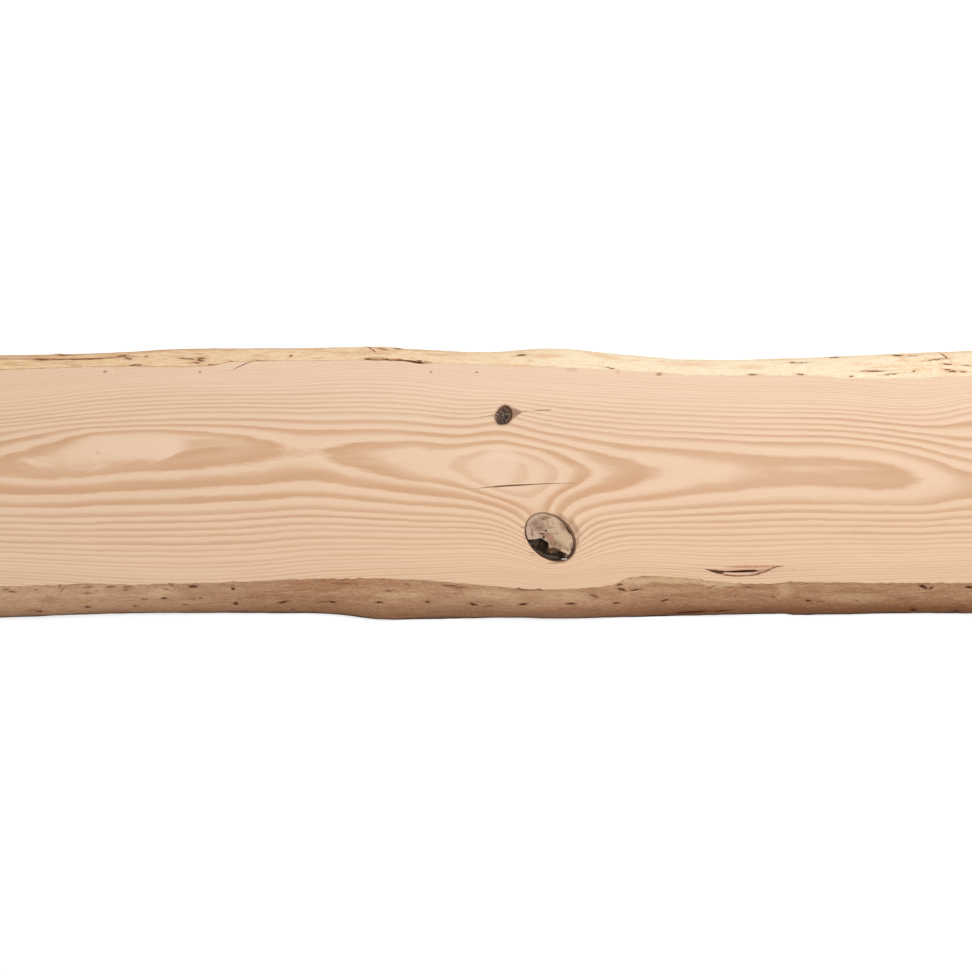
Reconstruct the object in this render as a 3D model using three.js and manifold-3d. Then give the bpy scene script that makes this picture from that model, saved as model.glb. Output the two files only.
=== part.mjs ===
// A live-edge softwood plank: one piece, sawn flat on its two faces and cut square at its ends.
// Both long edges keep the log's own debarked surface, the wane, so the upper face is the narrower.
// Lengths are in millimetres. X runs along the grain, Y across the plank and Z up.
// The origin is the centre of the lower face, which lies on Z = 0.
import * as THREE from "three";
import { mergeVertices } from "three/addons/utils/BufferGeometryUtils.js";
import Module from "manifold-3d";

// ---- The sawn plank ----
const LENGTH = 1200;
const THICKNESS = 40;
const FACE_WIDTH = 213.5; // the upper face from arris to arris, on average
const NEAR_WANE = 34; // how far the log's surface runs out below the near arris, on average
const FAR_WANE = 18.5;
const LOG_ROUNDNESS = 1.5; // 1 is a flat bevel, and more turns the wane upright towards its foot
const STATION = 8; // distance between two sections of the loft
const WANE_ROWS = 8; // facets of a section between the arris and the foot of its wane

// ---- How each line of a live edge wanders from its mean, as [along X, outwards] ----
// An arris is where the wane meets the upper face, and a foot is where it meets the lower one.
const FAR_ARRIS = [
  [-600, -4], [-486, -1.1], [-393, 2], [-300, 1.6], [-277, 3], [-251, 6.8], [-104, 8.2], [0, 3.7],
  [62, 2], [155, -3], [217, -6.2], [320, -7.2], [367, -9.8], [429, -9.8], [486, -7.8], [600, -5],
];
const FAR_FOOT = [
  [-600, -4], [-415, -1.8], [-304, 3.5], [-184, 4.3], [-105, 5.7], [-83, 3.7], [0, 0.2],
  [70, 3.9], [141, -2.3], [204, -7], [309, -6.1], [419, -1.1], [493, 1.8], [600, 3],
];
const NEAR_ARRIS = [
  [-600, 5], [-486, 4.6], [-401, 1.5], [-354, 2.5], [-243, -0.5], [-158, -3.6], [-65, -2],
  [15, 4.6], [62, 7.5], [108, 5.6], [128, 2.5], [141, -4.5], [155, -6.4], [201, -4.6], [243, 0.5],
  [286, 1.3], [305, -0.4], [413, 1], [600, -0.5],
];
const NEAR_FOOT = [
  [-600, 5.5], [-493, 3.4], [-367, -0.8], [-184, -1], [-152, 0.3], [-105, 5.5], [-58, 4.8],
  [31, 3.4], [78, 4.5], [204, 1.5], [301, -0.5], [312, 0.9], [435, -1], [600, 0.8],
];

// ---- Swellings and hollows that the log had between those lines ----
// Each is [along X, height above the lower face, half length, half height, bulge].
const NEAR_SWELLINGS = [
  [-430, 14, 55, 12, 1.4], [-255, 25, 40, 9, -1.2], [-104, 9, 34, 10, 1.6], [62, 24, 42, 12, 2.2],
  [148, 30, 22, 8, -1.8], [232, 17, 46, 12, 1.3], [395, 26, 50, 10, -1.1], [530, 16, 45, 13, 1.5],
];
const FAR_SWELLINGS = [
  [-505, 20, 50, 12, 1.2], [-318, 12, 42, 9, -1.3], [-175, 24, 46, 12, 1.5], [-60, 30, 26, 8, -1.4],
  [70, 16, 40, 12, 1.7], [236, 23, 55, 12, -1.2], [418, 14, 44, 11, 1.6], [560, 27, 38, 10, -1],
];

// ---- The dead knot: the stub of a branch, held by a ring of bark and partly rotted out ----
const DEAD_KNOT_X = 64;
const DEAD_KNOT_FROM_ARRIS = 52.8; // its centre, measured in from the near arris
const DEAD_KNOT_LENGTH = 57;
const DEAD_KNOT_WIDTH = 42;
const DEAD_KNOT_TURN = -42; // degrees from the grain
const BARK_RING_WIDTH = 1.5;
const BARK_RING_DEPTH = 7;
const ROT_DEPTH = 6;
const ROT_TAPER = 0.72; // the hollow's floor against its mouth, drawn in towards the bark ring
// The broken rim of the hollow, in shares of the knot's half length and half width.
const ROT_RIM = [
  [-0.53, -0.73], [-0.36, -0.49], [-0.26, -0.28], [0.07, -0.21], [0.23, -0.41], [0.45, -0.18],
  [0.84, -0.02],
];
const ROT_ON_RING = { from: -12, to: -126 }; // degrees round the knot, where bark bounds the hollow

// ---- The small black knot, loose in its socket on one side ----
const BLACK_KNOT_X = 18;
const BLACK_KNOT_FROM_ARRIS = 48.8; // its centre, measured in from the far arris
const BLACK_KNOT_LENGTH = 17;
const BLACK_KNOT_WIDTH = 19;
const BLACK_KNOT_GAP = 0.9; // the crescent that opened as the knot dried
const BLACK_KNOT_GAP_DEPTH = 4;

// ---- Slits, as start and end [X, Y], how far they bow, and their width and depth in the middle ----
// The first is a drying check across the heart of the face.
const HEART_CHECK = { start: [-12, -5.4], end: [97, 0.3], bow: 1.4, width: 0.6, depth: 7 };
// Bark that the log grew over. Its Y is measured out from the near arris, so inwards is negative.
const BARK_POCKET = { start: [236, -10.4], end: [273, -12.6], bow: 0, width: 2.3, depth: 5 };
// Two splits along the far arris. Their Y is measured out from it.
const ARRIS_SPLITS = [
  { start: [-256, -9], end: [-230, 1.5], bow: 0.6, width: 0.8, depth: 5 },
  { start: [-122, 1.5], end: [-52, -1.2], bow: 1.2, width: 1.5, depth: 6 },
];
const SLIT_STEPS = 10;
const CLEAR = 2; // how far a cutter stands out of the face that it cuts
const CHORD = 1.3; // longest facet round a knot

const HALF_LOWER_WIDTH = (FACE_WIDTH + NEAR_WANE + FAR_WANE) / 2;

// A smooth line through [x, value] points, level beyond its two ends.
function wandering(points) {
  const last = points.length - 1;
  const slope = points.map((_, i) => {
    const before = points[Math.max(i - 1, 0)];
    const after = points[Math.min(i + 1, last)];
    return (after[1] - before[1]) / (after[0] - before[0]);
  });
  return (x) => {
    if (x <= points[0][0]) return points[0][1];
    if (x >= points[last][0]) return points[last][1];
    const i = points.findIndex((point) => point[0] > x) - 1;
    const [fromX, from] = points[i];
    const [toX, to] = points[i + 1];
    const run = toX - fromX;
    const t = (x - fromX) / run;
    const leaving = t * (1 - t) ** 2 * slope[i] * run;
    const arriving = t ** 2 * (t - 1) * slope[i + 1] * run;
    return from + (to - from) * t * t * (3 - 2 * t) + leaving + arriving;
  };
}

// One live edge: returns how far out it stands at x and at height z.
function liveEdge(wane, arrisLine, footLine, swellings) {
  const arris = wandering(arrisLine);
  const foot = wandering(footLine);
  return (x, z) => {
    const height = z / THICKNESS;
    const footOut = HALF_LOWER_WIDTH + foot(x);
    const arrisOut = HALF_LOWER_WIDTH - wane + arris(x);
    const section = footOut + (arrisOut - footOut) * height ** LOG_ROUNDNESS;
    const fade = Math.sin(Math.PI * height); // the lines on both sawn faces stay put
    return swellings.reduce((out, [atX, atZ, halfLength, halfHeight, bulge]) => {
      const away = ((x - atX) / halfLength) ** 2 + ((z - atZ) / halfHeight) ** 2;
      return out + bulge * Math.exp(-away) * fade;
    }, section);
  };
}

const farEdge = liveEdge(FAR_WANE, FAR_ARRIS, FAR_FOOT, FAR_SWELLINGS);
const nearEdge = liveEdge(NEAR_WANE, NEAR_ARRIS, NEAR_FOOT, NEAR_SWELLINGS);
const fromFarArris = (x, outwards) => farEdge(x, THICKNESS) + outwards;
const fromNearArris = (x, outwards) => -nearEdge(x, THICKNESS) - outwards;

const wasm = await Module();
wasm.setup();

function solidFrom(geometry) {
  geometry.deleteAttribute("normal");
  geometry.deleteAttribute("uv");
  const merged = mergeVertices(geometry, 1e-4);
  return new wasm.Manifold(
    new wasm.Mesh({
      numProp: 3,
      vertProperties: merged.attributes.position.array,
      triVerts: new Uint32Array(merged.index.array),
    }),
  );
}

// The loft: a box with a row of stations, whose long sides are drawn out to the two live edges.
function sawnBody() {
  const stations = Math.round(LENGTH / STATION);
  const body = new THREE.BoxGeometry(LENGTH, 1, THICKNESS, stations, 1, WANE_ROWS);
  body.translate(0, 0, THICKNESS / 2);
  const at = body.attributes.position;
  for (let i = 0; i < at.count; i++) {
    const x = at.getX(i);
    const z = at.getZ(i);
    at.setY(i, at.getY(i) > 0 ? farEdge(x, z) : -nearEdge(x, z));
  }
  return solidFrom(body);
}

// A cutter for the upper face: a shape sunk to a depth below it.
function cutter(shape, depth, curveSegments = SLIT_STEPS) {
  const cut = new THREE.ExtrudeGeometry(shape, {
    depth: depth + CLEAR,
    bevelEnabled: false,
    curveSegments,
  });
  cut.translate(0, 0, THICKNESS - depth);
  return cut;
}

function ellipse(length, width) {
  const shape = new THREE.Shape();
  shape.absellipse(0, 0, length / 2, width / 2, 0, 2 * Math.PI, false, 0);
  return shape;
}

// three.js draws an ellipse with twice the segments that it is asked for.
const segmentsRound = (length) => Math.ceil((Math.PI * length) / CHORD / 2);

// A knot is drawn with its length along X, and then turned to the grain and set in place.
function inPlace(geometry, x, y, degrees = 0) {
  geometry.rotateZ(THREE.MathUtils.degToRad(degrees));
  geometry.translate(x, y, 0);
  return solidFrom(geometry);
}

const deadKnotY = fromNearArris(DEAD_KNOT_X, -DEAD_KNOT_FROM_ARRIS);
const blackKnotY = fromFarArris(BLACK_KNOT_X, -BLACK_KNOT_FROM_ARRIS);

// The bark round the dead knot has fallen out and leaves a groove.
function barkRing() {
  const ring = ellipse(DEAD_KNOT_LENGTH, DEAD_KNOT_WIDTH);
  ring.holes.push(
    ellipse(DEAD_KNOT_LENGTH - 2 * BARK_RING_WIDTH, DEAD_KNOT_WIDTH - 2 * BARK_RING_WIDTH),
  );
  const groove = cutter(ring, BARK_RING_DEPTH, segmentsRound(DEAD_KNOT_LENGTH));
  return inPlace(groove, DEAD_KNOT_X, deadKnotY, DEAD_KNOT_TURN);
}

// The rotted hollow: a broken rim across the knot, and the middle of the bark ring for the rest.
function rottedHollow() {
  const halfLength = (DEAD_KNOT_LENGTH - BARK_RING_WIDTH) / 2;
  const halfWidth = (DEAD_KNOT_WIDTH - BARK_RING_WIDTH) / 2;
  const shape = new THREE.Shape();
  const start = THREE.MathUtils.degToRad(ROT_ON_RING.from);
  const end = THREE.MathUtils.degToRad(ROT_ON_RING.to);
  shape.absellipse(0, 0, halfLength, halfWidth, start, end, true, 0);
  const rim = ROT_RIM.map(([along, across]) => new THREE.Vector2(along * halfLength, across * halfWidth));
  rim.forEach((point) => shape.lineTo(point.x, point.y));
  const hollow = cutter(shape, ROT_DEPTH, segmentsRound(DEAD_KNOT_LENGTH / 3));
  const middle = (start + end) / 2;
  const pullX = halfLength * Math.cos(middle);
  const pullY = halfWidth * Math.sin(middle);
  const at = hollow.attributes.position;
  for (let i = 0; i < at.count; i++) {
    if (at.getZ(i) > THICKNESS) continue;
    at.setX(i, pullX + (at.getX(i) - pullX) * ROT_TAPER);
    at.setY(i, pullY + (at.getY(i) - pullY) * ROT_TAPER);
  }
  return inPlace(hollow, DEAD_KNOT_X, deadKnotY, DEAD_KNOT_TURN);
}

// The socket less the knot, which has drawn away from the socket's right-hand side.
function blackKnotGap() {
  const socketShape = () => ellipse(BLACK_KNOT_LENGTH, BLACK_KNOT_WIDTH);
  const segments = segmentsRound(BLACK_KNOT_WIDTH);
  const outline = () => cutter(socketShape(), BLACK_KNOT_GAP_DEPTH, segments);
  const socket = inPlace(outline(), BLACK_KNOT_X, blackKnotY);
  return socket.subtract(inPlace(outline(), BLACK_KNOT_X - BLACK_KNOT_GAP, blackKnotY));
}

// A spindle between two points, bowed sideways and tapered to nothing at both ends.
function slit({ start, end, bow, width, depth }) {
  const from = new THREE.Vector2(...start);
  const along = new THREE.Vector2(...end).sub(from);
  const sideways = new THREE.Vector2(-along.y, along.x).normalize();
  const side = (sign) =>
    Array.from({ length: SLIT_STEPS + 1 }, (_, i) => {
      const t = i / SLIT_STEPS;
      const off = Math.sin(Math.PI * t) * (bow + (sign * width) / 2);
      return from.clone().addScaledVector(along, t).addScaledVector(sideways, off);
    });
  const outline = [...side(-1), ...side(1).reverse().slice(1, -1)];
  return solidFrom(cutter(new THREE.Shape(outline), depth));
}

// The same slit, with its ends measured out from an arris.
function slitAlong(fromArris, { start, end, ...rest }) {
  const placed = ([x, outwards]) => [x, fromArris(x, outwards)];
  return slit({ start: placed(start), end: placed(end), ...rest });
}

function plankSolid() {
  const cuts = [
    barkRing(),
    rottedHollow(),
    blackKnotGap(),
    slit(HEART_CHECK),
    slitAlong(fromNearArris, BARK_POCKET),
    ...ARRIS_SPLITS.map((split) => slitAlong(fromFarArris, split)),
  ];
  return cuts.reduce((plank, cut) => plank.subtract(cut), sawnBody());
}

function meshOf(solid, name, material) {
  const made = solid.getMesh();
  const places = new Float32Array(made.numVert * 3);
  for (let i = 0; i < made.numVert; i++) {
    places.set(made.vertProperties.subarray(i * made.numProp, i * made.numProp + 3), i * 3);
  }
  const geometry = new THREE.BufferGeometry();
  geometry.setAttribute("position", new THREE.BufferAttribute(places, 3));
  geometry.setIndex(new THREE.BufferAttribute(made.triVerts, 1));
  geometry.computeVertexNormals();
  const mesh = new THREE.Mesh(geometry, material);
  mesh.name = name;
  return mesh;
}

const sawnSoftwood = new THREE.MeshStandardMaterial({
  color: new THREE.Color(0.76, 0.52, 0.35),
  roughness: 0.6,
  metalness: 0,
});

const livePlank = new THREE.Group();
livePlank.add(meshOf(plankSolid(), "plank", sawnSoftwood));
export default livePlank;
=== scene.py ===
# %% [markdown]
# # A live-edge softwood plank
# The plank lies flat on a pale floor. Its two faces were planed, its ends were cut square, and
# both long edges keep the log's own surface, the wane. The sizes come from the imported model,
# so this script only adds what a drawing leaves out: fibres, splinters, growth rings and knots.

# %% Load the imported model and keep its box
import math
from functools import partialmethod

import bpy
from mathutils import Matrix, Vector, noise


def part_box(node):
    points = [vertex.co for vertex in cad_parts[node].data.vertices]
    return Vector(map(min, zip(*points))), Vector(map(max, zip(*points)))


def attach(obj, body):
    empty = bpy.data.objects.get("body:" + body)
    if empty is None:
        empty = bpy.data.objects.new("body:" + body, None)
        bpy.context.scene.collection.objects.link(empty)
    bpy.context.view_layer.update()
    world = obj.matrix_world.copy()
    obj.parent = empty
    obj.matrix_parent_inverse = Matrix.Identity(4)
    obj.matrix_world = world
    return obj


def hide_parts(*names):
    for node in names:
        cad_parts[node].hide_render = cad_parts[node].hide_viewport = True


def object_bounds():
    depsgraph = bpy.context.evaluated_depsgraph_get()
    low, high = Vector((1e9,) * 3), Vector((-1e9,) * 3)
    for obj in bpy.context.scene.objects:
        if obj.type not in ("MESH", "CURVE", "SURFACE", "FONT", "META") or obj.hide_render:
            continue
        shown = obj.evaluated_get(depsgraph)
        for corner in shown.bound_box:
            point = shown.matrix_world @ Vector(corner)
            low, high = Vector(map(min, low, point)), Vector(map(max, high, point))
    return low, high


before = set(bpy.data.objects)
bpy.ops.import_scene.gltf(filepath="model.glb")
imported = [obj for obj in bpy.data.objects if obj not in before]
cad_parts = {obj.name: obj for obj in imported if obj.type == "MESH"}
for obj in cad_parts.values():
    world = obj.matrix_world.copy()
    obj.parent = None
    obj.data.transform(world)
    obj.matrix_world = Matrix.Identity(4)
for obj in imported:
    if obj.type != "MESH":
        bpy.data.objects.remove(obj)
bpy.context.view_layer.update()
cad_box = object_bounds()
bpy.ops.object.select_all(action="DESELECT")
cad_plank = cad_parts["plank"]
MM = 0.001
CLOSE = 0.01 * MM  # points nearer to each other than this are taken as one
HALF_LENGTH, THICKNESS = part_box("plank")[1][0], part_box("plank")[1][2]
END, TOP = round(HALF_LENGTH / MM), round(THICKNESS / MM)  # the same two in millimetres
print("the plank's box in metres:", [[round(v, 4) for v in corner] for corner in cad_box])

# %% [markdown]
# ## The plank's mesh
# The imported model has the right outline, knots and splits, but its wanes are flat facets.
# A fresh block could be cut to shape again. Instead a copy of the model is refined, because then
# every edge stays exactly where the drawing has it. The copy comes as loose triangles, so its
# corners are welded first.

# %% Copy the model and weld its corners
plank = bpy.data.objects.new("sawn_plank", cad_plank.data.copy())
bpy.context.collection.objects.link(plank)
bpy.context.view_layer.objects.active = plank
plank.select_set(True)
plank.data.materials.clear()


def select_faces(wanted):
    """Opens the plank for editing with the faces selected for which wanted(centre, normal) holds."""
    bpy.ops.object.mode_set(mode="EDIT")
    bpy.ops.mesh.select_mode(type="FACE")
    bpy.ops.mesh.select_all(action="DESELECT")
    bpy.ops.object.mode_set(mode="OBJECT")
    for face in plank.data.polygons:
        face.select = wanted(face.center, face.normal)
    bpy.ops.object.mode_set(mode="EDIT")


def done():
    """Closes the plank after editing."""
    bpy.ops.object.mode_set(mode="OBJECT")


select_faces(lambda centre, normal: True)
bpy.ops.mesh.remove_doubles(threshold=CLOSE)
done()
bpy.ops.mesh.customdata_custom_splitnormals_clear()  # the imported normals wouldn't suit the new faces

# %% Tell the parts of the surface apart
NEAR_FACE_EDGE, FAR_FACE_EDGE = -90 * MM, 100 * MM  # the wanes lie outside these two lines
SQUARE = 0.999  # how much of a face's normal lies along an axis that it is square to
WANE_STEEPNESS = 0.97  # faces beside the lines that lie flatter than this are the floors of cuts


def is_upper(centre, normal):
    return normal.z > SQUARE and centre.z > THICKNESS - CLOSE


def is_lower(centre, normal):
    return normal.z < -SQUARE and centre.z < CLOSE


def is_end(centre, normal):
    return abs(normal.x) > SQUARE and abs(centre.x) > HALF_LENGTH - CLOSE


def is_wane(centre, normal):
    outside = centre.y < NEAR_FACE_EDGE or centre.y > FAR_FACE_EDGE
    return outside and abs(normal.z) < WANE_STEEPNESS and not is_end(centre, normal)


# %% [markdown]
# ## Room for splinters on the wanes
# Only the wanes need a fine net of faces. Their triangles are paired into quads and subdivided.
# The flat faces are dissolved into big polygons first, so that the new points along their rims
# can't leave thin folded triangles across the wood. The flat faces are cut across at four places,
# because a material that only has to draw the marks of its own length is worked out much faster.

# %% Refine the wanes and dissolve the flat faces
WANE_CUTS = 3
SECTION_EDGES = (-200, -20, 115, 310)  # the plank is coloured in five lengths, cut at these X

for edge in SECTION_EDGES:
    select_faces(lambda centre, normal: is_upper(centre, normal) or is_lower(centre, normal))
    bpy.ops.mesh.bisect(plane_co=(edge * MM, 0, 0), plane_no=(1, 0, 0))
    bpy.ops.mesh.mark_seam()  # the cuts stay when the rest is dissolved
    done()
for flat in (is_upper, is_lower):
    select_faces(flat)
    bpy.ops.mesh.dissolve_limited(angle_limit=math.radians(0.5), delimit={"SEAM"})
    done()
select_faces(is_wane)
bpy.ops.mesh.tris_convert_to_quads(face_threshold=math.radians(20), shape_threshold=math.radians(60))
bpy.ops.mesh.subdivide(number_cuts=WANE_CUTS, quadcorner="STRAIGHT_CUT")
done()

# %% [markdown]
# ## Fibres, dents and splinters
# Debarked wood isn't smooth: long fibres stand up, and the rollers that fed the log left a row of
# spike marks. A Displace modifier could push the surface by a texture, but each mark has its own
# place, so the points of the wanes are moved in code along their normals, by a fixed noise.
# All lengths in this cell are in millimetres, except where MM stands beside them.

# %% Move the wanes' points
SPIKE_PITCH, SPIKE_HALF_LENGTH, SPIKE_HALF_WIDTH = 47.6, 4.5, 1.6  # the feed rollers' spike marks
NEAR_ROLLER, FAR_ROLLER = (37, -118, 1.6), (173, 109.5, 1.4)  # a mark's X, the row's Y, the depth
# Dents in the wanes, as X, Y, half length, half width and depth.
DENTS = [
    (-254, -105, 6, 2, 1.6), (-323, -115, 4, 2.5, 1.4), (-292, -103, 5, 1.5, 1), (-354, -124, 3, 2, 1),
    (-402, -124, 3, 2, 1), (-318, -102.5, 6, 2, 1.2), (-440, -117, 9, 1.4, 0.8), (439, -104, 4, 2, 1.2),
    (430, -126, 4, 1.6, 1.2), (472, -127, 4, 1.6, 1.1), (482, -104, 3, 1.6, 1.3), (144, -104, 11, 3, 1.6),
    (217, -128, 26, 2, 1), (-288, 124, 7, 1.6, 1.3), (-352, 118, 8, 1.2, 1), (-272, 118, 9, 1.2, 1),
    (-104, 124, 17, 1, 1.4), (-69, 121, 17, 1.2, 1.3), (36, 128, 5, 1.4, 1), (388, 112, 10, 1.3, 1.2),
    (416, 128.5, 6, 1.2, 1.2), (467, 115, 13, 3, 1.2), (314, 121, 9, 1.2, 1),
]
# Splinters that stand out of the far wane's outline, in the same way.
SPLINTERS = [
    (-434, 131, 7, 3, 1), (-121, 137.4, 3, 2, 1.2), (-104, 136.8, 6, 2, 1), (-89, 136.4, 5, 2, 0.9),
    (353, 130.8, 6, 2, 1.2),
]
# A knot's X, Y, half length, half width and turn, and the X at which its branch left the pith.
BIG_KNOT = (64, -53.75, 28.5, 21, -42, -10)
# Crumbs of bark fill the lower part of the groove round the big knot.
GROOVE_DEPTH, GROOVE_REACH, BARK_LEVEL = 7 * MM, 30 * MM, 1.4 * MM
RIM_MARGIN = 0.03 * MM  # the wanes' inner points stay this far from the heights of the flat faces


def bump(x, y, dent):
    """A dent's depth at a point, 0 where it would be too shallow to matter."""
    at_x, at_y, half_length, half_width, depth = dent
    away = ((x - at_x) / half_length) ** 2 + ((y - at_y) / half_width) ** 2
    return depth * math.exp(-away) if away < 6 else 0


def spikes(x, y, first, row, depth):
    """One dent in each pitch along the roller's row, some deep and some hardly there."""
    count = round((x - first) / SPIKE_PITCH)
    strength = 0.6 + 0.8 * noise.noise((count * 7.3, row, 0.5))
    at_x = first + count * SPIKE_PITCH
    return bump(x, y, (at_x, row, SPIKE_HALF_LENGTH, SPIKE_HALF_WIDTH, depth * strength))


def fibres(x, across):
    """Long ridges and furrows, as the height at a point."""
    broad = noise.noise((x / 70, across / 11, 3.1)) * 0.55
    ridge = abs(noise.noise((x / 38, across / 3.6, 7.7))) * -0.8
    fine = noise.noise((x / 11, across / 1.7, 11.3)) * 0.28
    return broad + ridge + fine


def push_out(vertex):
    """How far a point of a wane moves, in metres, and how far from the flat faces it has to stay."""
    x, y, z = (value / MM for value in vertex.co)
    near = y < 0
    push = fibres(x, abs(y) * 0.8 + z)  # the wane slopes, so both count across its grain
    for dent in DENTS:
        push -= bump(x, y, dent)
    for splinter in SPLINTERS:
        push += bump(x, y, splinter)
    push -= spikes(x, y, *(NEAR_ROLLER if near else FAR_ROLLER))
    height = vertex.co.z / THICKNESS
    if 0.001 <= height <= 0.999:
        return Vector((0, vertex.normal.y, vertex.normal.z)).normalized() * push * MM, RIM_MARGIN
    push *= 0.7  # the rims only move level with their faces
    if height > 0.999:
        push += noise.noise((x / 7, y / 40, 2.2)) * (1.1 if near else 0.7)
    return Vector((0, -1 if near else 1, 0)) * push * MM, 0


moved = []
for vertex in plank.data.vertices:
    beside = vertex.co.y < NEAR_FACE_EDGE or vertex.co.y > FAR_FACE_EDGE
    if beside and abs(vertex.co.x) < HALF_LENGTH - CLOSE and abs(vertex.normal.z) <= 0.995:
        moved.append((vertex.index, *push_out(vertex)))
lowest, highest = cad_box
for index, shift, margin in moved:
    corner = plank.data.vertices[index].co
    corner += shift
    corner.y = min(max(corner.y, lowest.y), highest.y)
    corner.z = min(max(corner.z, margin), THICKNESS - margin)

# %% Fill the groove round the big knot
knot_middle = [value * MM for value in BIG_KNOT[:2]]
for vertex in plank.data.vertices:
    on_floor = abs(vertex.co.z - THICKNESS + GROOVE_DEPTH) < CLOSE
    if on_floor and math.dist(vertex.co.xy, knot_middle) < GROOVE_REACH:
        vertex.co.z = THICKNESS - BARK_LEVEL
plank.data.update()

# %% [markdown]
# ## Numbers that flow through a material
# Wood is solid, so its rings have to agree on every side that a saw opens. One formula in three
# dimensions gives them. Written as loose nodes it would be hard to read, so a small class turns
# ordinary arithmetic into Math nodes.

# %% A short way to write node arithmetic
def feed(tree, value, socket):
    """Links a flow into a socket, or writes a plain value on it."""
    if isinstance(value, Flow):
        tree.links.new(value.socket, socket)
    else:
        socket.default_value = value


def node(tree, kind, inputs, output=0, **settings):
    """Adds a node, feeds its inputs and gives one of its outputs as a flow."""
    made = tree.nodes.new("ShaderNode" + kind)
    for name, value in settings.items():
        setattr(made, name, value)
    for name, value in inputs.items():
        feed(tree, value, made.inputs[name])
    return Flow(tree, made.outputs[output])


class Flow:
    """A number, vector, colour or shader on its way through a node tree."""

    def __init__(self, tree, socket):
        self.tree, self.socket = tree, socket

    def math(self, operation, *others, clamp=False):
        values = dict(enumerate((self, *others)))
        return node(self.tree, "Math", values, operation=operation, use_clamp=clamp)

    __add__ = __radd__ = partialmethod(math, "ADD")
    __sub__ = partialmethod(math, "SUBTRACT")
    __mul__ = __rmul__ = partialmethod(math, "MULTIPLY")
    __truediv__ = partialmethod(math, "DIVIDE")
    __pow__ = partialmethod(math, "POWER")

    def __rsub__(self, other):
        return self * -1 + other

    def clamp(self):
        return self.math("ADD", 0.0, clamp=True)

    def fade(self, start, end, smooth=True):
        """0 up to start and 1 from end on, or the other way round where start is the greater."""
        low, high, first, last = (start, end, 0, 1) if start < end else (end, start, 1, 0)
        values = {"Value": self, "From Min": low, "From Max": high, "To Min": first, "To Max": last}
        return node(self.tree, "MapRange", values, interpolation_type="SMOOTHSTEP" if smooth else "LINEAR")

    def graph(self, points, handle="AUTO"):
        """Reads this number off a smooth graph through [x, value] points, level past its ends."""
        xs, values = [p[0] for p in points], [p[1] for p in points]
        x0, x1 = xs[0], xs[-1]
        reach = 20 * (max(values) - min(values))  # a low curve keeps Blender's handles even
        low = min(values) - reach / 2
        share = self.math("SUBTRACT", x0).math("DIVIDE", x1 - x0, clamp=True)
        read = node(self.tree, "FloatCurve", {"Value": share})
        mapping = read.socket.node.mapping
        curve = mapping.curves[0]
        while len(curve.points) < len(points):
            curve.points.new(0.5, 0.5)
        for dot, (x, value) in zip(curve.points, points):
            dot.location = ((x - x0) / (x1 - x0), (value - low) / reach)
            dot.handle_type = handle
        mapping.update()
        return read * reach + low


def mix(factor, first, second):
    """A colour between two, each a flow or a plain colour."""
    # A Mix node has sockets for every kind of data. Those of colours stand in these places.
    return node(factor.tree, "Mix", {0: factor, 6: first, 7: second}, 2, data_type="RGBA")


def vector(operation, tree, *values):
    """A Vector Math node on flows and plain vectors."""
    output = "Value" if operation == "DOT_PRODUCT" else "Vector"
    return node(tree, "VectorMath", dict(enumerate(values)), output, operation=operation)


def tint(colour, amount, to, start=(1, 1, 1, 1)):
    """The colour times a tint, which goes from one to another as a flow goes from 0 to 1."""
    return vector("MULTIPLY", colour.tree, colour, mix(amount, start, to))


def shade(colour, brightness):
    """The colour or vector made greater or smaller by a number or a flow."""
    return node(colour.tree, "VectorMath", {0: colour, "Scale": brightness}, operation="SCALE")


def paint(red, green, blue):
    """A colour as a screen shows it, from 0 to 255, turned into light."""
    shares = [value / 255 for value in (red, green, blue)]
    return tuple(s / 12.92 if s <= 0.04 else ((s + 0.055) / 1.055) ** 2.4 for s in shares) + (1,)


def place(tree):
    """The point of the wood in millimetres, as x, y, z and all three together."""
    point = shade(node(tree, "TexCoord", {}, "Object"), 1 / MM)
    split = node(tree, "SeparateXYZ", {0: point}).socket.node
    return [Flow(tree, split.outputs[i]) for i in range(3)] + [point]


def pair(x, y):
    """A point whose X and Y are two flows."""
    return node(x.tree, "CombineXYZ", {"X": x, "Y": y})


def grain(point, size, detail=2, shift=0, roughness=0.5):
    """Soft noise from about -1 to 1 whose grains have that size in millimetres."""
    shifted, scale = (shift, shift * 1.7, shift * 0.6), tuple(1 / s for s in size)
    spot = node(point.tree, "Mapping", {"Vector": point, "Location": shifted, "Scale": scale})
    values = {"Vector": spot, "Scale": 1, "Detail": detail, "Roughness": roughness}
    return (node(point.tree, "TexNoise", values, "Fac") - 0.5) * 3


# %% [markdown]
# ## Growth rings
# A ring is a cone round the pith, which lies some 60 mm below this plank. Where the log was a
# little thicker or bent, the upper face cuts other rings, and that draws the flames and islands
# down its middle. So a point's ring follows from its distance to the wandering pith, less the
# swellings that branches gave the log.

# %% The log's shape
# Each line has a step in millimetres and a number at each, from the left end of the plank on.
PITH_SIDE = (120, [15, 19, 30, 35, 28.5, 17, 10, 13, 11, -1, -5])  # how far it lies off the middle
# How far it lies below the upper face: about 99, where a circle through both wanes has its centre.
PITH_DEPTH = (60, [
    100.4, 99.9, 98.6, 98, 98.1, 98.1, 98.5, 99.2, 98.3, 97.6, 98.6,
    99.2, 100.4, 101.7, 103, 103.6, 103.6, 104.3, 106.7, 107.7, 108.2,
])
# The log was no true circle: how much faster its rings follow each other on the two sides.
NEAR_OVAL = (120, [0.85, 0.81, 0.7, 0.67, 0.76, 0.88, 0.98, 0.85, 0.89, 1, 1])
FAR_OVAL = (120, [1.15, 1.17, 1.15, 1.17, 1.01, 1, 0.97, 1.03, 1.03, 1.1, 1.1])
MEAN_DEPTH, MEAN_SIDE = 99, 13  # where branches left the pith
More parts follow.
